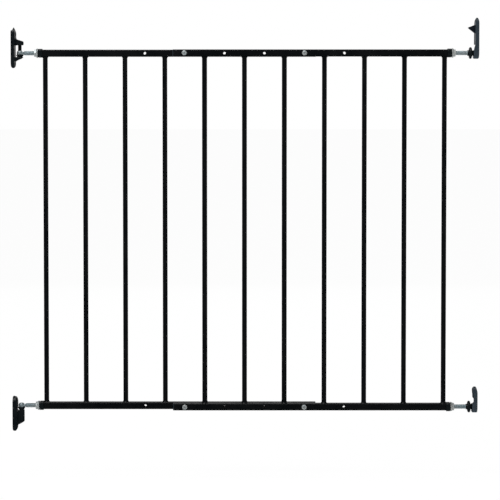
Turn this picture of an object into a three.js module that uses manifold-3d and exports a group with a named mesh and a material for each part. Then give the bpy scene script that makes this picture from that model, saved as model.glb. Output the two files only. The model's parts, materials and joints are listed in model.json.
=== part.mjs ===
// Safety baby gate: two overlapping seven-bar steel panels, hung on two wall brackets and
// caught by two more. Millimetres, +Z up. X runs from the hinge wall to the latch wall, and
// -Y faces the room. The origin is the centre of the lower hinge bracket's back face.
import * as THREE from 'three';
import { mergeVertices } from 'three/addons/utils/BufferGeometryUtils.js';
import Module from 'manifold-3d';

const wasm = await Module();
wasm.setup();

// ---- Driving dimensions ----
const BAR_PITCH = 74;            // bar to bar, for a 65 mm gap between 9 mm bars
const BARS_PER_PANEL = 7;
const BAR_RADIUS = 4.5;
const TUBE_WALL = 1.1;
const FIRST_BAR = 62.7;          // hinge wall to the first bar
const SHARED_BARS = 3;           // bars of the two panels that stand one behind the other
const RAIL_SIZE = 13;            // square rail tube
const RAIL_CORNER = 2;
const RAIL_SPACING = 657.5;      // between the centre lines of the bottom and top rails
const PANEL_STEP = 13.4;         // centre to centre of the two panels, front to back
const LOWER_AXIS = 15;           // height of the lower rod axis above the origin
const RAIL_START = 52.5;         // wall to the end of the rail tube
const FREE_OVERHANG = 57;        // last bar to the free end of the rail tube
const HOLE_RADIUS = 2.6;         // clamp bolt holes
const ROD_RADIUS = 4;            // M8 thread
const BORE_RADIUS = 4.15;        // thread bores, drawn as plain bores
const PIN_OFFSET = 15.5;         // wall to the hinge axis
const PIN_RADIUS = 3.3;
const EYE_RADIUS = 5.8;
const EYE_HALF_HEIGHT = 4.7;
const NECK_RADIUS = 2.6;         // between the eye and the thread
const PLATE_HALF_WIDTH = 12;     // wall brackets, across Y
const CATCH_RADIUS = 4.9;        // neck of the catch head, in the bracket's slot
const SLOT_SIDE_TOP = 4.3;       // low side of the slot, above the rod axis
const SLOT_TOP = 15.6;           // the neck can rise this high before it swings out
const GAP = 0.3;                 // clearance between pieces that touch
const SEAT_GAP = 0.1;            // between faces clamped together
const INSERT_LIP = 3.2;          // end wall of the plastic cap over a rail's end
const SLEEVE_LENGTH = 20;        // inside the rail, around the rod
const ROD_END = 90;              // wall to the hidden end of a threaded rod
const ROD_TIP_RADIUS = 3.2;
const LATCH_ROD_START = 15.6;    // wall to the end of the latch rod
const CATCH_HEAD_END = 20.6;     // wall to the back of the catch head
const CATCH_FLANGE_RADIUS = 10.8;
const LOWER_ARM_TOP = -7.4;      // top of the arm under the eye, below the rod axis
const UPPER_ARM_TOP = -7.2;
const SCREW_HOLE_RADIUS = 2.3;
const SCREW_HEAD_RADIUS = 4.6;
const LATCH_DEPTH = 9.5;         // how far a latch bracket's foot stands off the wall
const SLOT_FLOOR = 3.5;          // wall to the back of the catch slot
const CHANNEL_TOP = 54.6;        // top of the lock slider's channel
const SLIDER_HALF_WIDTH = 4.8;

const TOTAL_BARS = 2 * BARS_PER_PANEL - SHARED_BARS;
const OPENING_WIDTH = 2 * FIRST_BAR + (TOTAL_BARS - 1) * BAR_PITCH;
const RAIL_END = FIRST_BAR + (BARS_PER_PANEL - 1) * BAR_PITCH + FREE_OVERHANG;

// ---- Materials ----
function finish(colour, roughness, metalness) {
  return new THREE.MeshStandardMaterial({ color: colour, roughness, metalness });
}

const powderCoat = () => finish(0x0b0d10, 0.42, 0.0);
const blackPlastic = () => finish(0x0d1214, 0.5, 0.0);
const slatePlastic = () => finish(0x2c3740, 0.45, 0.0);
const zinc = () => finish(0x9fb0b6, 0.3, 1.0);

// ---- Solid helpers ----
function toSolid(geometry) {
  const bare = geometry.clone();
  bare.deleteAttribute('normal');
  bare.deleteAttribute('uv');
  const merged = mergeVertices(bare, 1e-4);
  const source = merged.index.array;
  const kept = [];
  for (let i = 0; i < source.length; i += 3) {
    const [a, b, c] = [source[i], source[i + 1], source[i + 2]];
    if (a !== b && b !== c && c !== a) kept.push(a, b, c);
  }
  const vertProperties = new Float32Array(merged.attributes.position.array);
  const triVerts = Uint32Array.from(kept);
  return new wasm.Manifold(new wasm.Mesh({ numProp: 3, vertProperties, triVerts }));
}

function toGeometry(solid) {
  const mesh = solid.getMesh();
  const geometry = new THREE.BufferGeometry();
  geometry.setAttribute('position', new THREE.BufferAttribute(mesh.vertProperties, 3));
  geometry.setIndex(new THREE.BufferAttribute(mesh.triVerts, 1));
  geometry.computeVertexNormals();
  return geometry;
}

function join(...geometries) {
  return toGeometry(geometries.map(toSolid).reduce((sum, next) => sum.add(next)));
}

function cut(base, ...tools) {
  return toGeometry(tools.map(toSolid).reduce((sum, next) => sum.subtract(next), toSolid(base)));
}

function overlap(first, second) {
  return toGeometry(toSolid(first).intersect(toSolid(second)));
}

// ---- Shape helpers ----
function outline(points) {
  return new THREE.Shape(points.map(([a, b]) => new THREE.Vector2(a, b)));
}

// A round piece turned about an axis; the profile is a list of [radius, distance along it].
function turnedY(profile, sides = 16) {
  return new THREE.LatheGeometry(profile.map(([r, d]) => new THREE.Vector2(r, d)), sides);
}

function turnedX(profile, sides = 16) {
  return turnedY(profile, sides).rotateZ(-Math.PI / 2);
}

function turnedZ(profile, sides = 16) {
  return turnedY(profile, sides).rotateX(Math.PI / 2);
}

function rodProfile(radius, from, to) {
  return [[0, from], [radius, from], [radius, to], [0, to]];
}

function ringProfile(inner, outer, from, to) {
  return [[inner, from], [outer, from], [outer, to], [inner, to], [inner, from]];
}

// A block between two corners.
function block(low, high) {
  const size = high.map((value, axis) => value - low[axis]);
  const middle = high.map((value, axis) => (value + low[axis]) / 2);
  return new THREE.BoxGeometry(...size).translate(...middle);
}

// An outline in X and Z, extruded evenly to both sides of Y = 0.
function sideProfile(shape, halfWidth, curveSegments = 8) {
  const settings = { depth: 2 * halfWidth, bevelEnabled: false, curveSegments };
  return new THREE.ExtrudeGeometry(shape, settings)
    .rotateX(Math.PI / 2)
    .translate(0, halfWidth, 0);
}

function roundedSquare(half, corner) {
  const shape = new THREE.Shape();
  shape.moveTo(half, corner - half);
  shape.lineTo(half, half - corner);
  shape.absarc(half - corner, half - corner, corner, 0, Math.PI / 2);
  shape.lineTo(corner - half, half);
  shape.absarc(corner - half, half - corner, corner, Math.PI / 2, Math.PI);
  shape.lineTo(-half, corner - half);
  shape.absarc(corner - half, corner - half, corner, Math.PI, 1.5 * Math.PI);
  shape.lineTo(half - corner, -half);
  shape.absarc(half - corner, corner - half, corner, 1.5 * Math.PI, 2 * Math.PI);
  return shape;
}

// A rounded square bar along X.
function squareBar(half, corner, from, to) {
  const settings = { depth: to - from, bevelEnabled: false, curveSegments: 3 };
  return new THREE.ExtrudeGeometry(roundedSquare(half, corner), settings)
    .rotateY(Math.PI / 2)
    .translate(from, 0, 0);
}

function piece(name, geometry, material) {
  const mesh = new THREE.Mesh(geometry, material);
  mesh.name = name;
  return mesh;
}

// ---- Panel: rails, bars, inserts and plugs, measured from its own wall ----
function holeCentres() {
  const firstHole = FIRST_BAR + 2.5 * BAR_PITCH;
  return Array.from({ length: 5 }, (_, i) => firstHole + i * BAR_PITCH);
}

function rail() {
  const half = RAIL_SIZE / 2;
  const tube = cut(
    squareBar(half, RAIL_CORNER, RAIL_START, RAIL_END),
    squareBar(half - TUBE_WALL, RAIL_CORNER - TUBE_WALL, RAIL_START - 1, RAIL_END + 1),
  );
  const drills = holeCentres().map((x) => (
    turnedY(rodProfile(HOLE_RADIUS, -half - 1, half + 1), 8).translate(x, 0, 0)
  ));
  return cut(tube, ...drills);
}

function bar() {
  const from = RAIL_SIZE / 2 + GAP / 2;
  const to = RAIL_SPACING - from;
  return turnedZ(ringProfile(BAR_RADIUS - TUBE_WALL, BAR_RADIUS, from, to), 12);
}

// A plastic cap over the tube end, with a sleeve inside the tube that takes the rod.
function railInsert() {
  const half = RAIL_SIZE / 2;
  const skirtEnd = FIRST_BAR - BAR_RADIUS - 2 * GAP;
  const face = RAIL_START - INSERT_LIP;
  const sleeveEnd = RAIL_START + SLEEVE_LENGTH;
  const cap = cut(
    squareBar(half + 1.9, 4.2, face, skirtEnd),
    squareBar(half + GAP / 2, RAIL_CORNER, RAIL_START - GAP, skirtEnd + 1),
  );
  const sleeve = turnedX(rodProfile(half - TUBE_WALL - GAP, face + 1, sleeveEnd));
  return cut(join(cap, sleeve), turnedX(rodProfile(BORE_RADIUS, face - 1, sleeveEnd + 1)));
}

function endPlug() {
  const half = RAIL_SIZE / 2;
  const head = squareBar(half, RAIL_CORNER, RAIL_END + SEAT_GAP, RAIL_END + 2);
  const spigotHalf = half - TUBE_WALL - GAP / 2;
  const spigot = squareBar(spigotHalf, 1, RAIL_END - 9, RAIL_END + 1);
  return join(head, spigot);
}

function addPanel(group, side) {
  for (const [level, height] of [['bottom', 0], ['top', RAIL_SPACING]]) {
    const parts = [
      piece(`${side}_panel_${level}_rail`, rail(), powderCoat()),
      piece(`${side}_${level}_rail_insert`, railInsert(), blackPlastic()),
      piece(`${side}_${level}_end_plug`, endPlug(), blackPlastic()),
      piece(`${side}_${level}_lock_nut`, lockNut(), zinc()),
    ];
    for (const part of parts) {
      part.position.z = height;
      group.add(part);
    }
  }
  for (let i = 0; i < BARS_PER_PANEL; i += 1) {
    const upright = piece(`${side}_panel_bar_${i + 1}`, bar(), powderCoat());
    upright.position.x = FIRST_BAR + i * BAR_PITCH;
    group.add(upright);
  }
}

// ---- Threaded hardware ----
// Hexagon nut that widens into a conical flange against the rail insert.
function lockNut() {
  const flangeFace = RAIL_START - INSERT_LIP - GAP / 2;
  const hexFace = flangeFace - 6.6;
  const hexCorner = 7.5;
  const flangeRadius = 8.7;
  const hex = turnedX(rodProfile(hexCorner, hexFace, flangeFace - 1), 6);
  const cone = turnedX([
    [0, hexFace + 2.2], [6.4, hexFace + 2.2], [flangeRadius, flangeFace - 1.4],
    [flangeRadius, flangeFace], [0, flangeFace],
  ]);
  const bore = turnedX(rodProfile(BORE_RADIUS, hexFace - 1, flangeFace + 1));
  return cut(join(hex, cone), bore);
}

function ballProfile(radius, halfHeight, steps) {
  const profile = [[0, -halfHeight]];
  const limit = Math.asin(halfHeight / radius);
  for (let i = 0; i <= steps; i += 1) {
    const angle = -limit + (2 * limit * i) / steps;
    profile.push([radius * Math.cos(angle), radius * Math.sin(angle)]);
  }
  profile.push([0, halfHeight]);
  return profile;
}

// Threaded rod ending in a rounded eye, which turns on the hinge pin.
function eyeBolt() {
  const eye = turnedZ(ballProfile(EYE_RADIUS, EYE_HALF_HEIGHT, 6)).translate(PIN_OFFSET, 0, 0);
  const neck = turnedX([
    [0, PIN_OFFSET + 4], [NECK_RADIUS, PIN_OFFSET + 4], [NECK_RADIUS, PIN_OFFSET + 7.2],
    [ROD_RADIUS, PIN_OFFSET + 8.4],
    [ROD_RADIUS, ROD_END - 1], [ROD_TIP_RADIUS, ROD_END], [0, ROD_END],
  ]);
  const hole = turnedZ(rodProfile(PIN_RADIUS + GAP, -EYE_RADIUS, EYE_RADIUS))
    .translate(PIN_OFFSET, 0, 0);
  return cut(join(eye, neck), hole);
}

function latchRod() {
  return turnedX([
    [0, LATCH_ROD_START], [ROD_RADIUS, LATCH_ROD_START], [ROD_RADIUS, ROD_END - 1],
    [ROD_TIP_RADIUS, ROD_END], [0, ROD_END],
  ]);
}

// Moulded head on the latch rod: a neck that drops into the bracket, a round flange, a hub.
function catchHead() {
  const rim = CATCH_FLANGE_RADIUS;
  const body = turnedX([
    [0, 4.4], [4.2, 4.4], [CATCH_RADIUS, 5.1], [CATCH_RADIUS, 12.3], [rim - 2.4, 12.5],
    [rim - 0.5, 13.6], [rim, 14.9], [rim - 0.5, 16.2], [rim - 2.4, 17.3],
    [5.5, 17.9], [4.7, CATCH_HEAD_END], [0, CATCH_HEAD_END],
  ]);
  return cut(body, turnedX(rodProfile(BORE_RADIUS, LATCH_ROD_START - GAP, CATCH_HEAD_END + 1)));
}

function clampBolt(x, z) {
  const front = -PANEL_STEP - RAIL_SIZE / 2 - SEAT_GAP;
  const tail = RAIL_SIZE / 2 + 6;
  const body = turnedY([
    [0, front - 2.7], [2.6, front - 2.6], [4.1, front - 1.6], [4.6, front - 0.4],
    [4.6, front], [HOLE_RADIUS - 0.2, front], [HOLE_RADIUS - 0.2, tail - 0.5],
    [1.9, tail], [0, tail],
  ], 12);
  const socket = turnedY(rodProfile(1.7, front - 4, front - 1.3), 6);
  return cut(body, socket).translate(x, 0, z);
}

function clampNut(x, z) {
  const from = RAIL_SIZE / 2 + SEAT_GAP;
  const hex = turnedY(rodProfile(4.62, from, from + 4), 6);
  return cut(hex, turnedY(rodProfile(HOLE_RADIUS, from - 1, from + 5), 12)).translate(x, 0, z);
}

// ---- Wall brackets ----
// Plate seen from the room side: a strip with round ends, thickness along X.
function plateBlank(low, high, thickness) {
  const radius = PLATE_HALF_WIDTH;
  const shape = new THREE.Shape();
  shape.moveTo(radius, low + radius);
  shape.lineTo(radius, high - radius);
  shape.absarc(0, high - radius, radius, 0, Math.PI);
  shape.lineTo(-radius, low + radius);
  shape.absarc(0, low + radius, radius, Math.PI, 2 * Math.PI);
  const settings = { depth: thickness, bevelEnabled: false, curveSegments: 6 };
  return new THREE.ExtrudeGeometry(shape, settings)
    .rotateX(Math.PI / 2)
    .rotateZ(Math.PI / 2);
}

// Tongue seen from above: straight sides and a round nose centred on the pin.
function tongueBlank(centre, radius, low, high) {
  const shape = new THREE.Shape();
  shape.moveTo(0, -radius);
  shape.lineTo(centre, -radius);
  shape.absarc(centre, 0, radius, -Math.PI / 2, Math.PI / 2);
  shape.lineTo(0, radius);
  const settings = { depth: high - low, bevelEnabled: false, curveSegments: 6 };
  return new THREE.ExtrudeGeometry(shape, settings).translate(0, 0, low);
}

function screwHole(z, thickness) {
  return turnedX([
    [0, -1], [SCREW_HOLE_RADIUS, -1], [SCREW_HOLE_RADIUS, thickness - 2.4],
    [SCREW_HEAD_RADIUS, thickness - 0.1], [SCREW_HEAD_RADIUS, thickness + 4], [0, thickness + 4],
  ], 16).translate(0, 0, z);
}

function bracketBody(profile, low, high, plateThickness, nose) {
  const blank = join(
    plateBlank(low, high, plateThickness),
    tongueBlank(nose.centre, nose.radius, nose.low, nose.high),
  );
  return overlap(sideProfile(outline(profile), PLATE_HALF_WIDTH + 1), blank);
}

function pinHole(low, high) {
  return turnedZ(rodProfile(PIN_RADIUS + 0.1, low, high)).translate(PIN_OFFSET, 0, 0);
}

// Plate with two arms; the pin stands between them and the eye rides on it.
function upperHingeBracket() {
  const profile = [
    [0, -24.5], [1, -26.8], [3, -27.7], [5, -26.9], [6.6, -23.5], [6.8, -15],
    [20.2, -8.6], [21.6, -7.6], [21.6, UPPER_ARM_TOP], [6.4, UPPER_ARM_TOP], [6.4, 14.9], [21.2, 14.9],
    [22.6, 16.6], [22.4, 20], [20.4, 22.3], [10.5, 25.6], [8.2, 27.6], [7.4, 30.5],
    [7.4, 37], [6.2, 42.5], [4.2, 48], [2.8, 43.2], [0, 41.5],
  ];
  const arms = { centre: 15, radius: 7.6, low: -16, high: 29 };
  const body = bracketBody(profile, -27.7, 48, 8, arms);
  return cut(body, pinHole(-11, 20), screwHole(35.5, 7.4), screwHole(-20.8, 6.7));
}

// Plate with one block under the eye; a short spigot stands up out of the block.
function lowerHingeBracket() {
  const profile = [
    [0, -45], [1.2, -47.2], [3.4, -48], [5.8, -46.8], [7.4, -43], [8, -36.5],
    [20.6, -30], [21.2, -28.6], [21.2, -9.2], [19.8, LOWER_ARM_TOP], [12.5, LOWER_ARM_TOP], [8.2, -10.6],
    [7, -8], [7.8, 0], [7.6, 8], [6.4, 14.2], [5, 15.8], [1.4, 17.8], [0, 17.2],
  ];
  const arm = { centre: 13.6, radius: 7.6, low: -38, high: -7 };
  const body = bracketBody(profile, -48, 17.8, 8.4, arm);
  return cut(body, pinHole(-20, 0), screwHole(12, 7.2), screwHole(-41.6, 7.8));
}

function upperHingePin() {
  return turnedZ(rodProfile(PIN_RADIUS, -10.8, 19.8)).translate(PIN_OFFSET, 0, 0);
}

function lowerHingePin() {
  const tip = 4.4;
  return turnedZ([
    [0, -19.8], [PIN_RADIUS, -19.8], [PIN_RADIUS, tip - 1], [PIN_RADIUS - 1, tip], [0, tip],
  ]).translate(PIN_OFFSET, 0, 0);
}

// Conical cup that carries the eye on the arm below it.
function hingeBush(armTop) {
  const foot = armTop + SEAT_GAP;
  const outer = 6.9;
  const bore = PIN_RADIUS + GAP;
  const seat = EYE_RADIUS + GAP;
  const rim = -NECK_RADIUS - GAP;
  const mouth = Math.sqrt(seat * seat - rim * rim);
  const profile = [[bore, foot], [5, foot], [outer, rim - 1], [outer, rim], [mouth, rim]];
  const steps = 3;
  for (let i = 1; i <= steps; i += 1) {
    const radius = mouth + ((bore - mouth) * i) / steps;
    profile.push([radius, -Math.sqrt(seat * seat - radius * radius)]);
  }
  profile.push([bore, foot]);
  return turnedZ(profile).translate(PIN_OFFSET, 0, 0);
}

// Slot open at the top, which takes the neck of the catch head. Its side away from the room
// is low, so the neck swings out over it once the gate is lifted.
function catchSlot() {
  const radius = CATCH_RADIUS + GAP;
  const depth = 12;
  const shape = new THREE.Shape();
  shape.moveTo(radius, SLOT_TOP);
  shape.lineTo(-radius, SLOT_TOP);
  shape.lineTo(-radius, 0);
  shape.absarc(0, 0, radius, Math.PI, 2 * Math.PI);
  const settings = { depth, bevelEnabled: false, curveSegments: 6 };
  const slot = new THREE.ExtrudeGeometry(shape, settings)
    .rotateX(Math.PI / 2)
    .rotateZ(Math.PI / 2)
    .translate(SLOT_FLOOR, 0, 0);
  const wayOut = block([SLOT_FLOOR, -14, SLOT_SIDE_TOP], [SLOT_FLOOR + depth, 0, SLOT_TOP]);
  return join(slot, wayOut);
}

function latchBody(profile, high, plateThickness, slotTop) {
  const blank = join(
    plateBlank(-10.6, high, plateThickness),
    turnedX(rodProfile(11, 0, LATCH_DEPTH), 24),
    block([0, -11, 0], [LATCH_DEPTH, 11, slotTop]),
  );
  return overlap(sideProfile(outline(profile), PLATE_HALF_WIDTH + 1), blank);
}

function upperLatchBracket() {
  const profile = [
    [0, -9.6], [1, -10.6], [8.4, -10.6], [LATCH_DEPTH, -9.4], [LATCH_DEPTH, 4.5],
    [8.4, 9.6], [6.9, 15], [6.7, 40], [6.4, 57], [5.2, 62.4], [3, 65.4], [0.6, 62], [0, 57],
  ];
  const body = latchBody(profile, 65.4, 6.9, 16);
  const channel = block([4.2, -5.2, SLOT_TOP - 1], [12, 5.2, CHANNEL_TOP]);
  const undercut = block([3.6, -7, SLOT_TOP - 1], [5.1, 7, CHANNEL_TOP]);
  return cut(body, channel, undercut, catchSlot(), screwHole(59, 5.6), screwHole(0, SLOT_FLOOR));
}

function lowerLatchBracket() {
  const profile = [
    [0, -9.6], [1, -10.6], [8.4, -10.6], [LATCH_DEPTH, -9.4], [LATCH_DEPTH, 4.5],
    [8.6, 8.4], [7.2, 10.4], [7.6, 24], [7.8, 31], [6.6, 35.4], [4, 37.6], [1.4, 36], [0, 30],
  ];
  const body = latchBody(profile, 37.6, 7.9, 12);
  return cut(body, catchSlot(), screwHole(26, 7.5), screwHole(0, SLOT_FLOOR));
}

// Thumb-operated slide: a strip in the bracket's channel with a triangular tab.
function lockSlider() {
  const top = CHANNEL_TOP - 0.4;
  const strip = block([4.5, -SLIDER_HALF_WIDTH, 17.4], [6.5, SLIDER_HALF_WIDTH, top]);
  const foot = block([3.8, -6.6, 29], [4.9, 6.6, top]);
  const shape = [[6, 36.3], [7, 36.3], [19.3, 46.2], [19, 47.2], [7, 51.9], [6, 51.9]];
  const tab = sideProfile(outline(shape), SLIDER_HALF_WIDTH);
  return join(strip, foot, tab);
}

// ---- Assembly ----
const gate = new THREE.Group();

const hingeSide = new THREE.Group();
hingeSide.position.set(0, 0, LOWER_AXIS);
gate.add(hingeSide);

const latchSide = new THREE.Group();
latchSide.position.set(OPENING_WIDTH, -PANEL_STEP, LOWER_AXIS);
latchSide.rotation.z = Math.PI;
gate.add(latchSide);

addPanel(hingeSide, 'hinge');
addPanel(latchSide, 'latch');

function place(group, name, geometry, material, height) {
  const part = piece(name, geometry, material);
  part.position.z = height;
  group.add(part);
}

place(hingeSide, 'lower_eye_bolt', eyeBolt(), zinc(), 0);
place(hingeSide, 'upper_eye_bolt', eyeBolt(), zinc(), RAIL_SPACING);
place(hingeSide, 'lower_hinge_bush', hingeBush(LOWER_ARM_TOP), blackPlastic(), 0);
place(hingeSide, 'upper_hinge_bush', hingeBush(UPPER_ARM_TOP), blackPlastic(), RAIL_SPACING);
place(hingeSide, 'lower_hinge_pin', lowerHingePin(), powderCoat(), 0);
place(hingeSide, 'upper_hinge_pin', upperHingePin(), powderCoat(), RAIL_SPACING);
place(hingeSide, 'lower_hinge_bracket', lowerHingeBracket(), blackPlastic(), 0);
place(hingeSide, 'upper_hinge_bracket', upperHingeBracket(), blackPlastic(), RAIL_SPACING);

for (const [level, height] of [['lower', 0], ['upper', RAIL_SPACING]]) {
  place(latchSide, `${level}_latch_rod`, latchRod(), zinc(), height);
  place(latchSide, `${level}_catch_head`, catchHead(), blackPlastic(), height);
}
place(latchSide, 'lower_latch_bracket', lowerLatchBracket(), slatePlastic(), 0);
place(latchSide, 'upper_latch_bracket', upperLatchBracket(), slatePlastic(), RAIL_SPACING);
place(latchSide, 'lock_slider', lockSlider(), slatePlastic(), RAIL_SPACING);

const clampHoles = [holeCentres()[1], holeCentres()[4]];
for (const [level, height] of [['bottom', 0], ['top', RAIL_SPACING]]) {
  clampHoles.forEach((x, i) => {
    place(hingeSide, `${level}_clamp_bolt_${i + 1}`, clampBolt(x, height), zinc(), 0);
    place(hingeSide, `${level}_clamp_nut_${i + 1}`, clampNut(x, height), zinc(), 0);
  });
}

export default gate;
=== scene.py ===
"""Looks of the safety baby gate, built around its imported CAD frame. Lengths in mm, scaled to metres."""

import json
import math

import bmesh
import bpy
from mathutils import Matrix, Vector

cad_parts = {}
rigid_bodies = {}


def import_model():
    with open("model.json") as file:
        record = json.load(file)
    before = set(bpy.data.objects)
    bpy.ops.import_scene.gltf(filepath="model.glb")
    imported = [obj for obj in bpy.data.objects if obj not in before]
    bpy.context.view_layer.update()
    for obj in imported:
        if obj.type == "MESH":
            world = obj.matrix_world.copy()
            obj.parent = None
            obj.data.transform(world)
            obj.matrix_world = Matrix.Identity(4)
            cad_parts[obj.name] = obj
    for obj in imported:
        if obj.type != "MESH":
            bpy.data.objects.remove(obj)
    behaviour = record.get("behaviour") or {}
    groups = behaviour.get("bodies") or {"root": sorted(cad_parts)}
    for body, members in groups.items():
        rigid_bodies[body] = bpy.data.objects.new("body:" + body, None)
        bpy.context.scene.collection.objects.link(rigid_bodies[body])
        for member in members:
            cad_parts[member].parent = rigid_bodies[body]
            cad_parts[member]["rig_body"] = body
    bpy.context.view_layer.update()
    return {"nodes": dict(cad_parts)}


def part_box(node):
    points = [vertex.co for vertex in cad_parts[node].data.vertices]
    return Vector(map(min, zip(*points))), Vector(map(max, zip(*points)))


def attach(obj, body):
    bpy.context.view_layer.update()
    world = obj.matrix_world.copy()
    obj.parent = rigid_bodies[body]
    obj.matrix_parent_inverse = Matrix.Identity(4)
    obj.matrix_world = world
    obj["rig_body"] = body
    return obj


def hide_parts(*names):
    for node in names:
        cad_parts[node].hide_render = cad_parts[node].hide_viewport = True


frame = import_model()
MM = 0.001


# ---- Places, all taken from the frame ----
def centre(node):
    """Middle of a node's box, in metres."""
    low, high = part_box(node)
    return (low + high) / 2


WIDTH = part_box("upper_latch_bracket")[1].x / MM
AXIS = {"lower": centre("lower_latch_rod").z / MM, "upper": centre("upper_latch_rod").z / MM}
LEVEL = {"bottom": "lower", "top": "upper"}  # each rail's level, by the rod in its end
STEP_Y = centre("latch_panel_top_rail").y / MM
RAIL_HALF = (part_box("hinge_panel_top_rail")[1].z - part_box("hinge_panel_top_rail")[0].z) / MM / 2
RAIL_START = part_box("hinge_panel_top_rail")[0].x / MM
RAIL_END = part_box("hinge_panel_top_rail")[1].x / MM
BAR_RADIUS = (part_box("hinge_panel_bar_1")[1].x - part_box("hinge_panel_bar_1")[0].x) / MM / 2
PIN_X = centre("upper_hinge_pin").x / MM
FIRST_BAR = centre("hinge_panel_bar_1").x / MM
BAR_PITCH = centre("hinge_panel_bar_2").x / MM - FIRST_BAR

# ---- Sizes the frame doesn't give ----
TUBE_WALL = 1.1
BORE = 4.15
THREAD_PITCH = 1.25
THREAD_ROOT = 3.7
THREAD_DEPTH = 0.3
LATCH_ROD_START = 15.6
ROD_END = 90
INSERT_LIP = 3.2
ARM_TOP = {"lower": -7.4, "upper": -7.2}
HALF_WIDTH = 12
BLANK_HALF = 13
VOXEL = 0.42


def place(side, height):
    """Matrix from mm off a side's own wall, at a height, to metres in the frame."""
    if side == "hinge":
        spot = Matrix.Translation((0, 0, height * MM))
    else:
        wall = Matrix.Translation((WIDTH * MM, STEP_Y * MM, height * MM))
        spot = wall @ Matrix.Rotation(math.pi, 4, "Z")
    return spot @ Matrix.Scale(MM, 4)


# ---- Camera ----
def add_camera():
    """A long lens, looking a little down."""
    tilt_down = 2.0
    data = bpy.data.cameras.new("camera")
    data.sensor_width = 36
    data.lens = 116.07
    data.shift_y = -0.164
    camera = bpy.data.objects.new("camera", data)
    camera.location = (0.443, -3.0, 0.564)
    camera.rotation_euler = (math.radians(90 - tilt_down), 0, 0)
    bpy.context.scene.collection.objects.link(camera)
    bpy.context.scene.camera = camera


add_camera()


# ---- Node material helpers ----
def new_material(name, colour, roughness, metallic=0.0):
    material = bpy.data.materials.new(name)
    material.use_nodes = True
    shader = material.node_tree.nodes["Principled BSDF"]
    shader.inputs["Base Color"].default_value = (*colour, 1)
    shader.inputs["Roughness"].default_value = roughness
    shader.inputs["Metallic"].default_value = metallic
    return material, material.node_tree, shader


def noise(tree, scale, detail):
    """Noise in object space; scale is in features per metre."""
    where = tree.nodes.new("ShaderNodeTexCoord")
    node = tree.nodes.new("ShaderNodeTexNoise")
    node.inputs["Scale"].default_value = scale
    node.inputs["Detail"].default_value = detail
    tree.links.new(where.outputs["Object"], node.inputs["Vector"])
    return node.outputs["Fac"]


def spread(tree, value, low, high):
    """Stretches the middle of a noise's range, 0.3 to 0.7, to run from low to high."""
    node = tree.nodes.new("ShaderNodeMapRange")
    node.inputs["From Min"].default_value = 0.3
    node.inputs["From Max"].default_value = 0.7
    node.inputs["To Min"].default_value = low
    node.inputs["To Max"].default_value = high
    tree.links.new(value, node.inputs["Value"])
    return node.outputs["Result"]


def two_tone(tree, value, first, second):
    """Mixes two colours by a value."""
    node = tree.nodes.new("ShaderNodeMix")
    node.data_type = "RGBA"
    node.inputs["A"].default_value = (*first, 1)
    node.inputs["B"].default_value = (*second, 1)
    tree.links.new(value, node.inputs["Factor"])
    return node.outputs["Result"]


def bump(tree, shader, value, height, strength):
    """Relief of a height in metres."""
    node = tree.nodes.new("ShaderNodeBump")
    node.inputs["Strength"].default_value = strength
    node.inputs["Distance"].default_value = height
    tree.links.new(value, node.inputs["Height"])
    tree.links.new(node.outputs["Normal"], shader.inputs["Normal"])


def coat_material():
    """Semi-gloss black powder coat: orange-peel skin, slight changes of gloss and tone."""
    material, tree, shader = new_material("powder_coat", (0.004, 0.005, 0.006), 0.36)
    shader.inputs["Specular IOR Level"].default_value = 0.3
    skin = noise(tree, 900, 2)
    bump(tree, shader, skin, 0.00003, 0.25)
    patches = noise(tree, 28, 4)
    tree.links.new(spread(tree, patches, 0.30, 0.44), shader.inputs["Roughness"])
    tone = two_tone(tree, spread(tree, patches, 0, 1), (0.003, 0.004, 0.005), (0.006, 0.007, 0.008))
    tree.links.new(tone, shader.inputs["Base Color"])
    return material


def plastic_material(name, dark, light, roughness, grain):
    """Moulded plastic: fine spark-eroded grain, soft flow marks and a rubbed sheen."""
    material, tree, shader = new_material(name, dark, roughness)
    shader.inputs["Specular IOR Level"].default_value = 0.4
    bump(tree, shader, noise(tree, 2600, 2), grain, 0.4)
    flow = noise(tree, 60, 4)
    tree.links.new(two_tone(tree, spread(tree, flow, 0, 1), dark, light), shader.inputs["Base Color"])
    rubbed = spread(tree, noise(tree, 140, 5), roughness - 0.07, roughness + 0.09)
    tree.links.new(rubbed, shader.inputs["Roughness"])
    return material


def zinc_material(name, blue, straw, metallic):
    """Zinc plating with a blue passivation tint, drifting to straw, and fine scuffs."""
    material, tree, shader = new_material(name, blue, 0.42, metallic)
    tint = spread(tree, noise(tree, 40, 2), 0, 1)
    tree.links.new(two_tone(tree, tint, blue, straw), shader.inputs["Base Color"])
    scuffs = noise(tree, 500, 4)
    tree.links.new(spread(tree, scuffs, 0.34, 0.48), shader.inputs["Roughness"])
    bump(tree, shader, scuffs, 0.00001, 0.3)
    return material


COAT = coat_material()
BLACK = plastic_material("black_plastic", (0.004, 0.007, 0.009), (0.008, 0.012, 0.014), 0.38, 4e-5)
# Black plastic made a lighter blue-grey: a painted highlight for the glossy latch-bracket faces that
# catch the light.
BLACK_WITH_PAINTED_HIGHLIGHT = plastic_material("slate_plastic", (0.034, 0.050, 0.066), (0.050, 0.070, 0.088), 0.33, 3e-5)
NAVY = plastic_material("navy_plastic", (0.007, 0.012, 0.020), (0.012, 0.018, 0.028), 0.33, 3e-5)
# Black plastic made a lighter teal grey: a painted highlight for the light rim seen on the end plugs.
PLUG_WITH_PAINTED_HIGHLIGHT = plastic_material("plug_plastic_painted_highlight", (0.018, 0.027, 0.033), (0.032, 0.044, 0.052), 0.35, 3e-5)
ZINC = zinc_material("zinc", (0.34, 0.47, 0.52), (0.50, 0.55, 0.56), 0.5)
BRIGHT_ZINC = zinc_material("bright_zinc", (0.56, 0.63, 0.65), (0.68, 0.70, 0.68), 0.4)


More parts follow.
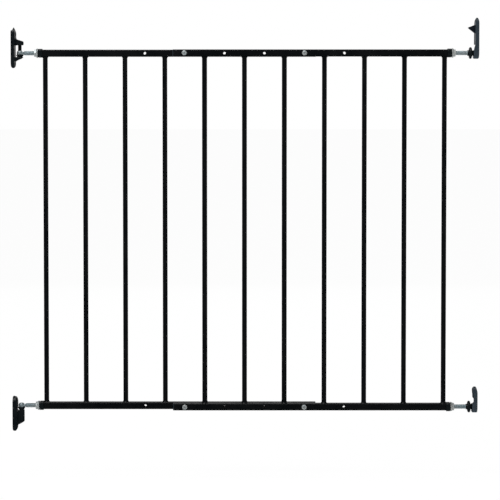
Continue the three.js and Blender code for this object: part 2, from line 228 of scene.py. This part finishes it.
# ---- Mesh helpers ----
def mesh_object(name, verts, faces):
    mesh = bpy.data.meshes.new(name)
    mesh.from_pydata([tuple(v) for v in verts], [], faces)
    obj = bpy.data.objects.new(name, mesh)
    bpy.context.scene.collection.objects.link(obj)
    return obj


def grid_object(name, rings, closed=True):
    """Skins a list of equal rings. Closed joins the last to the first; otherwise both ends are capped."""
    count = len(rings[0])
    verts = [point for ring in rings for point in ring]
    pairs = [(i, i + 1) for i in range(len(rings) - 1)]
    if closed:
        pairs.append((len(rings) - 1, 0))
    faces = []
    for a, b in pairs:
        for k in range(count):
            n = (k + 1) % count
            faces.append((a * count + k, a * count + n, b * count + n, b * count + k))
    if not closed:
        faces.append(tuple(range(count)))
        last = (len(rings) - 1) * count
        faces.append(tuple(last + k for k in range(count)))
    return mesh_object(name, verts, faces)


def ring_x(radius_at, x, sides):
    """A ring about X; radius_at gives the radius at an angle."""
    points = []
    for k in range(sides):
        angle = 2 * math.pi * k / sides
        radius = radius_at(angle)
        points.append((x, radius * math.cos(angle), radius * math.sin(angle)))
    return points


TO_Z = Matrix(((0, 0, 1, 0), (0, 1, 0, 0), (1, 0, 0, 0), (0, 0, 0, 1)))
TO_Y = Matrix.Rotation(math.pi / 2, 4, "Z")


def lathe(name, profile, sides=64, closed=False, turn=None):
    """Turned piece about X from (radius, distance) pairs; turn stands it on another axis."""
    rings = [ring_x(lambda _, r=max(r, 0.01): r, x, sides) for r, x in profile]
    obj = grid_object(name, rings, closed)
    if turn is not None:
        obj.data.transform(turn)
    return obj


def arc(middle, radius, start, stop, steps):
    """Points on an arc, angles in degrees."""
    points = []
    for i in range(steps + 1):
        angle = math.radians(start + (stop - start) * i / steps)
        points.append((middle[0] + radius * math.cos(angle), middle[1] + radius * math.sin(angle)))
    return points


def square_ring(half, corner, x, steps=6):
    """A rounded square about X, from its half width and corner radius."""
    points = []
    inner = half - corner
    for k, (sy, sz) in enumerate(((1, 1), (-1, 1), (-1, -1), (1, -1))):
        points += arc((sy * inner, sz * inner), corner, 90 * k, 90 * k + 90, steps)
    return [(x, y, z) for y, z in points]


def square_loft(name, sections, closed=True):
    """Rounded-square piece from sections of (distance, half width, corner radius)."""
    rings = [square_ring(half, corner, x) for x, half, corner in sections]
    return grid_object(name, rings, closed)


def extrude(name, points, low, high, axes):
    """Extrudes an outline; axes names the outline's two axes and the extrusion axis, as 'xzy'."""
    order = ["xyz".index(letter) for letter in axes]
    verts = []
    for level in (low, high):
        for a, b in points:
            vert = [0, 0, 0]
            vert[order[0]], vert[order[1]], vert[order[2]] = a, b, level
            verts.append(vert)
    n = len(points)
    faces = [tuple(range(n)), tuple(range(n, 2 * n))]
    faces += [(k, (k + 1) % n, n + (k + 1) % n, n + k) for k in range(n)]
    return mesh_object(name, verts, faces)


def block(low, high):
    outline = [(low[0], low[1]), (high[0], low[1]), (high[0], high[1]), (low[0], high[1])]
    return extrude("block", outline, low[2], high[2], "xyz")


def face_out(obj):
    """Merges doubled points and turns every face outwards."""
    shape = bmesh.new()
    shape.from_mesh(obj.data)
    bmesh.ops.remove_doubles(shape, verts=shape.verts, dist=1e-5)
    bmesh.ops.recalc_face_normals(shape, faces=shape.faces)
    shape.to_mesh(obj.data)
    shape.free()


def bake_modifiers(obj):
    """Applies an object's modifiers to its mesh."""
    bpy.context.view_layer.update()
    shown = obj.evaluated_get(bpy.context.evaluated_depsgraph_get())
    baked = bpy.data.meshes.new_from_object(shown)
    obj.modifiers.clear()
    obj.data = baked


def combine(obj, operation, *tools):
    """Adds, cuts or keeps what each tool covers, in turn, and uses the tools up."""
    face_out(obj)
    for tool in tools:
        face_out(tool)
        modifier = obj.modifiers.new(operation, "BOOLEAN")
        modifier.operation = operation
        modifier.solver = "EXACT"
        modifier.object = tool
        bake_modifiers(obj)
        bpy.data.objects.remove(tool)
    return obj


def seal(obj):
    """Closes any sliver the drilling left open."""
    shell = bmesh.new()
    shell.from_mesh(obj.data)
    bmesh.ops.holes_fill(shell, edges=[edge for edge in shell.edges if edge.is_boundary], sides=4)
    bmesh.ops.recalc_face_normals(shell, faces=shell.faces)
    shell.to_mesh(obj.data)
    shell.free()


def moulded(obj, voxel, passes):
    """Gives a cut shape the softly rounded edges of a moulding."""
    remesh = obj.modifiers.new("remesh", "REMESH")
    remesh.mode = "VOXEL"
    remesh.voxel_size = voxel
    soften = obj.modifiers.new("soften", "CORRECTIVE_SMOOTH")
    soften.smooth_type = "LENGTH_WEIGHTED"
    soften.use_only_smooth = True
    soften.iterations = passes
    bake_modifiers(obj)
    return obj


def merge(obj, *others):
    """Joins other meshes into obj as one piece."""
    shape = bmesh.new()
    for part in (obj, *others):
        face_out(part)
        shape.from_mesh(part.data)
    shape.to_mesh(obj.data)
    shape.free()
    for part in others:
        bpy.data.objects.remove(part)
    return obj


def fit(obj, node, matrix, material, angle=32):
    """Puts a finished mesh in its place and makes it stand for its CAD node."""
    face_out(obj)
    obj.data.transform(matrix)
    obj.name = node + "_look"
    obj.data.name = obj.name
    obj.data.materials.clear()
    obj.data.materials.append(material)
    obj.data.shade_smooth()
    sharp = math.radians(angle)
    shape = bmesh.new()
    shape.from_mesh(obj.data)
    for edge in shape.edges:
        edge.smooth = not (len(edge.link_faces) == 2 and edge.calc_face_angle() > sharp)
    shape.to_mesh(obj.data)
    shape.free()
    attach(obj, frame["nodes"][node]["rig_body"])
    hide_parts(node)
    return obj


# ---- Panels ----
def hole_centres():
    """The rail's holes, each half a pitch past a bar, from the third bar to the last."""
    return [FIRST_BAR + (2.5 + i) * BAR_PITCH for i in range(5)]


def rail():
    """Square tube with broken edges, drilled through for the clamp bolts."""
    inner = RAIL_HALF - TUBE_WALL
    lip = 0.25
    tube = square_loft("rail", [
        (RAIL_START + lip, RAIL_HALF, 2), (RAIL_END - lip, RAIL_HALF, 2),
        (RAIL_END, RAIL_HALF - lip, 1.8), (RAIL_END, inner, 0.9),
        (RAIL_START, inner, 0.9), (RAIL_START, RAIL_HALF - lip, 1.8),
    ])
    for x in hole_centres():
        spot = Matrix.Translation((x, 0, 0))
        drill = lathe("drill", [(2.6, -9), (2.6, 9)], 28, turn=spot @ TO_Y)
        combine(tube, "DIFFERENCE", drill)
    seal(tube)
    return tube


def bar():
    """Round tube with a small weld fillet spreading onto the rail at each end."""
    gap = 0.02
    reach = AXIS["upper"] - AXIS["lower"] - RAIL_HALF - gap
    foot = RAIL_HALF + gap
    fillet = [(BAR_RADIUS + 1.7 * (1 - i / 6) ** 2, 3.4 * i / 6) for i in range(7)]
    profile = [(r, foot + d) for r, d in fillet]
    profile += [(BAR_RADIUS, foot + (reach - foot) * i / 24) for i in range(1, 24)]
    profile += [(r, reach - d) for r, d in reversed(fillet)]
    inner = BAR_RADIUS - TUBE_WALL
    return lathe("bar", profile + [(inner, reach), (inner, foot)], 40, closed=True, turn=TO_Z)


def rail_insert():
    """Black cap over the tube end, with a plain sleeve for the rod inside the tube."""
    face = RAIL_START - INSERT_LIP
    skirt = FIRST_BAR - BAR_RADIUS - 0.6
    full = RAIL_HALF + 1.5
    pocket = RAIL_HALF + 0.15
    floor = RAIL_START - 0.3
    sleeve = 5
    sleeve_end = RAIL_START + 20
    return square_loft("insert", [
        (face, BORE, BORE), (face, full - 2.2, 3.6), (face + 0.25, full - 1.3, 3.8),
        (face + 0.8, full - 0.5, 4), (face + 1.7, full, 4.2), (skirt - 0.8, full, 4.2),
        (skirt - 0.2, full - 0.3, 4.1), (skirt, full - 0.9, 4), (skirt, pocket, 2.1),
        (floor, pocket, 2.1), (floor, sleeve, 4.9), (sleeve_end, sleeve, 4.9),
        (sleeve_end, BORE, BORE),
    ])


def end_plug():
    """Round-edged plug with a spigot inside the tube."""
    end = RAIL_END
    half = RAIL_HALF
    spigot = 5.1
    return square_loft("plug", [
        (end - 9, 4.7, 0.9), (end - 8.5, spigot, 1), (end + 0.1, spigot, 1),
        (end + 0.1, half - 0.2, 1.9), (end + 0.35, half, 2), (end + 1.2, half, 2),
        (end + 1.7, half - 0.35, 2), (end + 1.95, half - 1, 2), (end + 2, half - 2.4, 2),
    ], closed=False)


# ---- Threaded hardware ----
def thread_radius(angle, x):
    """Radius of the thread, flat on its crests."""
    turns = (x / THREAD_PITCH + angle / (2 * math.pi)) % 1
    return THREAD_ROOT + THREAD_DEPTH * min(1, 1.3 * (1 - abs(2 * turns - 1)))


def threaded_rod(start, stop):
    """M8 rod with a true helix and chamfered ends."""
    per_turn = 8
    rings = []
    steps = round((stop - start) / THREAD_PITCH * per_turn)
    for i in range(steps + 1):
        x = start + (stop - start) * i / steps
        cap = 3.3 + min(x - start, stop - x)
        rings.append(ring_x(lambda a, x=x, cap=cap: min(thread_radius(a, x), cap), x, 28))
    return grid_object("rod", rings, closed=False)


def hex_radius(angle, flats):
    """Radius of a hexagon at an angle; flats is half its width across flats."""
    sector = math.pi / 3
    return flats / math.cos((angle % sector) - sector / 2)


def lock_nut():
    """Hexagon nut that widens into a conical flange."""
    flange = RAIL_START - INSERT_LIP - 0.15
    start = flange - 6.6
    flats = 6.5
    full = 7.6
    sides = 96
    cone = [(7.7, 3.0), (8.15, 2.2), (8.5, 1.5), (8.68, 0.9), (8.7, 0.4), (8.45, 0.05), (8.1, 0)]

    def corner(cap):
        return lambda angle: min(hex_radius(angle, flats), cap)

    rings = [ring_x(lambda _: BORE + 0.35, start, sides), ring_x(corner(6.3), start, sides)]
    rings += [ring_x(corner(6.3 + 1.25 * i / 4), start + 0.75 * i / 4, sides) for i in range(1, 5)]
    rings += [ring_x(corner(full), start + 2.4, sides), ring_x(corner(full), start + 3.3, sides)]
    rings += [ring_x(lambda _, r=radius: r, flange - back, sides) for radius, back in cone]
    rings += [ring_x(lambda _: BORE, flange, sides), ring_x(lambda _: BORE, start + 0.4, sides)]
    return grid_object("nut", rings)


def eye_bolt():
    """Rounded eye on a narrow neck, then the threaded rod."""
    eye_radius, half_height, neck = 5.8, 4.7, 2.6
    limit = math.degrees(math.asin(half_height / eye_radius))
    on_pin = Matrix.Translation((PIN_X, 0, 0)) @ TO_Z
    eye = lathe("eye", arc((0, 0), eye_radius, -limit, limit, 24), 48, turn=on_pin)
    shank = [(neck, 4), (neck, 6.9), (3.1, 7.5), (3.35, 8.2), (3.35, 9.4)]
    combine(eye, "UNION", lathe("neck", [(radius, PIN_X + x) for radius, x in shank], 32))
    combine(eye, "DIFFERENCE", lathe("hole", [(3.6, -9), (3.6, 9)], 40, turn=on_pin))
    moulded(eye, 0.24, 3)
    return merge(eye, threaded_rod(PIN_X + 8.3, ROD_END))


def catch_head():
    """Neck that drops into the slot, rounded flange, and the hub that grips the rod."""
    neck = [(4.2, 4.4), (4.65, 4.6), (4.9, 5.1), (4.9, 11.9), (5.3, 12.6), (6.2, 12.8)]
    flange = [(radius, x) for x, radius in arc((14.9, 8.4), 2.4, 180, 0, 14)]
    hub = [(7.4, 16.9), (6.2, 17.3), (5.5, 17.9), (5.2, 19.2), (4.9, 20.2), (4.5, 20.6)]
    return lathe("catch", neck + flange + hub + [(BORE, 20.6), (BORE, 15.3)], 64)


def clamp_bolt(x):
    """Button-head bolt with a hexagon socket and a plain tail."""
    front = STEP_Y - RAIL_HALF - 0.1
    tail = RAIL_HALF + 6
    head_radius, dome_height, shank = 4.6, 2.2, 2.4
    profile = []
    for degrees in range(6, 91, 7):
        angle = math.radians(degrees)
        profile.append((head_radius * math.sin(angle), front - 0.5 - dome_height * math.cos(angle)))
    profile += [(head_radius, front), (shank, front), (shank, tail - 0.6), (1.9, tail)]
    head = lathe("bolt", profile, 48, turn=TO_Y)
    key = [ring_x(lambda a: hex_radius(a, 1.5), depth, 48) for depth in (front - 4, front - 1.2)]
    socket = grid_object("socket", key, closed=False)
    socket.data.transform(TO_Y)
    combine(head, "DIFFERENCE", socket)
    head.data.transform(Matrix.Translation((x, 0, 0)))
    return head


def clamp_nut(x):
    """Hexagon nut with both faces chamfered."""
    start = RAIL_HALF + 0.1
    flats, bore, thickness = 4, 2.6, 4
    rings = []
    for cap, depth in ((3.9, 0), (4.25, 0.25), (4.62, 0.6), (4.62, 3.4), (4.25, 3.75), (3.9, thickness)):
        rings.append(ring_x(lambda a, cap=cap: min(hex_radius(a, flats), cap), start + depth, 72))
    rings += [ring_x(lambda _: bore, start + thickness, 72), ring_x(lambda _: bore, start, 72)]
    nut = grid_object("clamp_nut", rings)
    nut.data.transform(Matrix.Translation((x, 0, 0)) @ TO_Y)
    return nut


# ---- Hinge pins and bushes ----
def upright(profile, closed=False):
    """Turned piece standing on the hinge axis."""
    return lathe("upright", profile, 48, closed, Matrix.Translation((PIN_X, 0, 0)) @ TO_Z)


def hinge_bush(arm_top):
    """Conical collar on the bracket's arm, with a round seat for the eye."""
    foot = arm_top + 0.1
    bore, seat, rim = 3.6, 6.1, -2.9
    mouth = math.sqrt(seat * seat - rim * rim)
    profile = [(bore, foot), (4.8, foot), (5.1, foot + 0.3)]
    profile += [(6.8, rim - 1.1), (6.95, rim - 0.5), (6.8, rim - 0.1), (6.4, rim)]
    for i in range(9):
        radius = mouth + (bore - mouth) * i / 8
        profile.append((radius, -math.sqrt(seat * seat - radius * radius)))
    return upright(profile, closed=True)


# ---- Wall brackets ----
def smooth_outline(points, steps=5):
    """Closed Catmull-Rom curve through the points; a point with a third value stays a corner."""
    result = []
    n = len(points)
    for i in range(n):
        p0, p1, p2, p3 = (Vector(points[(i + k) % n][:2]) for k in (-1, 0, 1, 2))
        if len(points[i]) == 3:
            p0 = p1
        if len(points[(i + 1) % n]) == 3:
            p3 = p2
        for k in range(steps):
            t = k / steps
            spot = 0.5 * (2 * p1 + (p2 - p0) * t + (2 * p0 - 5 * p1 + 4 * p2 - p3) * t * t
                          + (3 * p1 - p0 - 3 * p2 + p3) * t ** 3)
            result.append(tuple(spot))
    return result


def plate_blank(low, high, thickness):
    """Wall plate with round ends, standing on the wall."""
    outline = arc((0, high - HALF_WIDTH), HALF_WIDTH, 0, 180, 24)
    outline += arc((0, low + HALF_WIDTH), HALF_WIDTH, 180, 360, 24)
    return extrude("plate", outline, -1, thickness, "yzx")


def tongue_blank(middle, radius, low, high):
    """Arm that comes off the wall and ends round, around the hinge axis."""
    outline = [(-2, -radius)] + arc((middle, 0), radius, -90, 90, 24) + [(-2, radius)]
    return extrude("tongue", outline, low, high, "xyz")


def side_cut(profile):
    """Smoothed side outline, wider than the bracket, to intersect it with."""
    return extrude("side", smooth_outline(profile), -BLANK_HALF, BLANK_HALF, "xzy")


def screw_hole(z, thickness):
    """Countersunk hole at a height in a plate."""
    profile = [(2.3, -3), (2.3, thickness - 2.4), (4.6, thickness - 0.1), (4.6, thickness + 4)]
    return lathe("screw_hole", profile, 32, turn=Matrix.Translation((0, 0, z)))


def pin_hole(low, high):
    return upright([(3.4, low), (3.4, high)])


def upper_hinge_bracket():
    """Plate with an arm below the eye and another that holds the pin's top."""
    arm = ARM_TOP["upper"]
    profile = [
        (0, -24.5, 1), (1, -26.8), (3, -27.7), (5, -26.9), (6.6, -23.5), (6.8, -15, 1),
        (20.2, -8.6), (21.6, -7.7), (21.4, arm, 1), (6.4, arm, 1), (6.4, 14.9, 1), (21.2, 14.9, 1),
        (22.6, 16.6), (22.4, 20), (20.4, 22.3), (10.5, 25.6), (8.2, 27.6), (7.4, 30.5),
        (7.4, 37), (6.2, 42.5), (4.2, 48, 1), (2.8, 43.2), (0, 41.5, 1),
    ]
    body = combine(plate_blank(-27.7, 48, 8), "UNION", tongue_blank(15, 7.6, -16, 29))
    combine(body, "INTERSECT", side_cut(profile))
    combine(body, "DIFFERENCE", pin_hole(-11, 20), screw_hole(35.5, 7.4), screw_hole(-20.8, 6.7))
    return moulded(body, VOXEL, 3)


def lower_hinge_bracket():
    """Plate with one deep block that carries the lower pin."""
    arm = ARM_TOP["lower"]
    profile = [
        (0, -45, 1), (1.2, -47.2), (3.4, -48), (5.8, -46.8), (7.4, -43), (8, -36.5, 1),
        (20.6, -30, 1), (21.2, -28.6, 1), (21.2, -9.2, 1), (19.8, arm, 1), (12.5, arm, 1),
        (8.2, -10.6, 1), (7, -8, 1), (7.8, 0), (7.6, 8), (6.4, 14.2),
        (5, 15.8, 1), (1.4, 17.8, 1), (0, 17.2, 1),
    ]
    body = combine(plate_blank(-48, 17.8, 8.4), "UNION", tongue_blank(13.6, 7.6, -38, -7))
    combine(body, "INTERSECT", side_cut(profile))
    combine(body, "DIFFERENCE", pin_hole(-20, 0), screw_hole(12, 7.2), screw_hole(-41.6, 7.8))
    return moulded(body, VOXEL, 3)


def catch_slot():
    """Slot open at the top; its side away from the room is low."""
    radius, floor, side_top, top = 5.2, 3.5, 4.3, 15.6
    outline = [(radius, top), (-radius, top)] + arc((0, 0), radius, 180, 360, 24)
    slot = extrude("slot", outline, floor, floor + 12, "yzx")
    return combine(slot, "UNION", block((floor, -14, side_top), (floor + 12, 0, top)))


def latch_body(profile, high, thickness, slot_top):
    """Plate with the thick round foot that the catch slot is cut in."""
    boss = lathe("boss", [(11, -1), (11, 12)], 64)
    shoulders = block((-1.5, -11, 0), (12, 11, slot_top))
    body = combine(plate_blank(-10.6, high, thickness), "UNION", boss, shoulders)
    return combine(body, "INTERSECT", side_cut(profile))


def upper_latch_bracket():
    """Tall bracket with an undercut channel for the lock slider above its catch slot."""
    profile = [
        (0, -9.6, 1), (1, -10.6, 1), (8.4, -10.6, 1), (9.5, -9.4, 1), (9.5, 4.5, 1),
        (8.4, 9.6), (6.9, 15, 1), (6.7, 40), (6.4, 57), (5.2, 62.4), (3, 65.4),
        (0.9, 62), (0, 57, 1),
    ]
    body = latch_body(profile, 65.4, 6.9, 16)
    channel = block((4.2, -5.2, 14.6), (12, 5.2, 54.6))
    undercut = block((3.6, -7, 14.6), (5.1, 7, 54.6))
    combine(body, "DIFFERENCE", channel, undercut, catch_slot(), screw_hole(59, 5.6), screw_hole(0, 3.5))
    return moulded(body, VOXEL, 2)


def lower_latch_bracket():
    """Short bracket with a catch slot and no lock."""
    profile = [
        (0, -9.6, 1), (1, -10.6, 1), (8.4, -10.6, 1), (9.5, -9.4, 1), (9.5, 4.5, 1),
        (8.4, 8.6, 1), (6.7, 9.8, 1), (6.9, 20), (7.8, 30), (6.9, 35.2), (4.4, 37.6),
        (1.8, 36.4), (0, 28, 1),
    ]
    body = latch_body(profile, 37.6, 7.9, 12)
    combine(body, "DIFFERENCE", catch_slot(), screw_hole(26, 7.5), screw_hole(0, 3.5))
    return moulded(body, VOXEL, 2)


def lock_slider():
    """Strip in the bracket's channel with a triangular thumb tab."""
    strip = block((4.5, -4.8, 17.4), (6.5, 4.8, 54.2))
    foot = block((3.8, -6.6, 29), (4.9, 6.6, 54.2))
    tab = [(6, 36.3), (7, 36.3), (19.1, 45.9), (19.4, 46.6), (19, 47.2), (7, 51.9), (6, 51.9)]
    combine(strip, "UNION", foot, extrude("tab", tab, -4.8, 4.8, "xzy"))
    return moulded(strip, 0.3, 2)


# ---- Assembly ----
def build_panel(side):
    """Two rails with their end pieces and nuts, and seven bars."""
    for level, end in LEVEL.items():
        spot = place(side, AXIS[end])
        fit(rail(), f"{side}_panel_{level}_rail", spot, COAT)
        fit(rail_insert(), f"{side}_{level}_rail_insert", spot, BLACK)
        # End plugs take the lighter plastic, a painted rim highlight.
        fit(end_plug(), f"{side}_{level}_end_plug", spot, PLUG_WITH_PAINTED_HIGHLIGHT)
        fit(lock_nut(), f"{side}_{level}_lock_nut", spot, BRIGHT_ZINC, 24)
    for number in range(7):
        spot = place(side, AXIS["lower"]) @ Matrix.Translation((FIRST_BAR + number * BAR_PITCH, 0, 0))
        fit(bar(), f"{side}_panel_bar_{number + 1}", spot, COAT, 60)


def build_hardware():
    """Eye bolts, latch bolts, and the bolts that clamp the two panels together."""
    for end in ("lower", "upper"):
        hinge, latch = place("hinge", AXIS[end]), place("latch", AXIS[end])
        fit(eye_bolt(), f"{end}_eye_bolt", hinge, ZINC, 60)
        fit(threaded_rod(LATCH_ROD_START, ROD_END), f"{end}_latch_rod", latch, ZINC, 60)
        fit(catch_head(), f"{end}_catch_head", latch, BLACK, 50)
    holes = hole_centres()
    for level, end in LEVEL.items():
        spot = place("hinge", AXIS[end])
        for number, x in enumerate((holes[1], holes[4]), 1):
            fit(clamp_bolt(x), f"{level}_clamp_bolt_{number}", spot, BRIGHT_ZINC, 40)
            fit(clamp_nut(x), f"{level}_clamp_nut_{number}", spot, BRIGHT_ZINC, 24)


def build_brackets():
    """The four wall brackets, with the pins, bushes and lock slider they carry."""
    low, high = place("hinge", AXIS["lower"]), place("hinge", AXIS["upper"])
    fit(lower_hinge_bracket(), "lower_hinge_bracket", low, BLACK, 80)
    fit(upper_hinge_bracket(), "upper_hinge_bracket", high, BLACK, 80)
    fit(hinge_bush(ARM_TOP["lower"]), "lower_hinge_bush", low, BLACK, 50)
    fit(hinge_bush(ARM_TOP["upper"]), "upper_hinge_bush", high, BLACK, 50)
    upper_pin = upright([(3, -10.8), (3.3, -10.5), (3.3, 19.5), (3, 19.8)])
    lower_pin = upright([(3.3, -19.8), (3.3, 3.2), (3.1, 3.8), (2.5, 4.3), (1.5, 4.4)])
    fit(upper_pin, "upper_hinge_pin", high, COAT)
    fit(lower_pin, "lower_hinge_pin", low, COAT)
    low, high = place("latch", AXIS["lower"]), place("latch", AXIS["upper"])
    # Both latch brackets take the black plastic with the painted highlight.
    fit(lower_latch_bracket(), "lower_latch_bracket", low, BLACK_WITH_PAINTED_HIGHLIGHT, 80)
    fit(upper_latch_bracket(), "upper_latch_bracket", high, BLACK_WITH_PAINTED_HIGHLIGHT, 80)
    fit(lock_slider(), "lock_slider", high, NAVY, 80)


# ---- Stage and light ----
def add_stage():
    """Wide pale floor below the gate, softly lit from within. Shiny parts don't mirror it."""
    material, _, shader = new_material("stage", (0.06, 0.06, 0.06), 0.9)
    shader.inputs["Specular IOR Level"].default_value = 0.1
    shader.inputs["Emission Color"].default_value = (1, 1, 1, 1)
    shader.inputs["Emission Strength"].default_value = 0.975
    reach, height = 60, -0.12
    square = [(-reach, -reach), (reach, -reach), (reach, reach), (-reach, reach)]
    floor = mesh_object("floor", [(x, y, height) for x, y in square], [(0, 1, 2, 3)])
    floor.data.materials.append(material)
    floor.visible_glossy = False


def area_light(name, spot, target, size, power):
    """Soft light aimed at a target, out of the camera's sight."""
    data = bpy.data.lights.new(name, "AREA")
    data.shape = "RECTANGLE"
    data.size, data.size_y = size
    data.energy = power
    lamp = bpy.data.objects.new(name, data)
    lamp.location = spot
    lamp.rotation_euler = (Vector(target) - Vector(spot)).to_track_quat("-Z", "Y").to_euler()
    lamp.visible_camera = False
    bpy.context.scene.collection.objects.link(lamp)


def add_lights():
    """Studio lights, and a white surrounding that only the camera sees."""
    area_light("key", (-0.6, -1.6, 3.2), (0.4, 0, 0.4), (1.6, 0.9), 34)
    area_light("fill", (2.6, -2.6, 1.0), (0.4, 0, 0.3), (0.5, 1.6), 2)
    area_light("top", (0.4, -0.2, 2.6), (0.4, 0, 0), (2.4, 0.6), 14)
    area_light("rim", (0.4, 3.2, 1.0), (0.4, 0, 0.4), (5, 1.8), 13)
    world = bpy.data.worlds.new("world")
    bpy.context.scene.world = world
    world.use_nodes = True
    background = world.node_tree.nodes["Background"]
    background.inputs["Color"].default_value = (1, 1, 1, 1)
    background.inputs["Strength"].default_value = 1
    world.cycles_visibility.diffuse = False
    world.cycles_visibility.glossy = False
    bpy.context.scene.view_settings.view_transform = "Standard"


build_panel("hinge")
build_panel("latch")
build_hardware()
build_brackets()
add_stage()
add_lights()
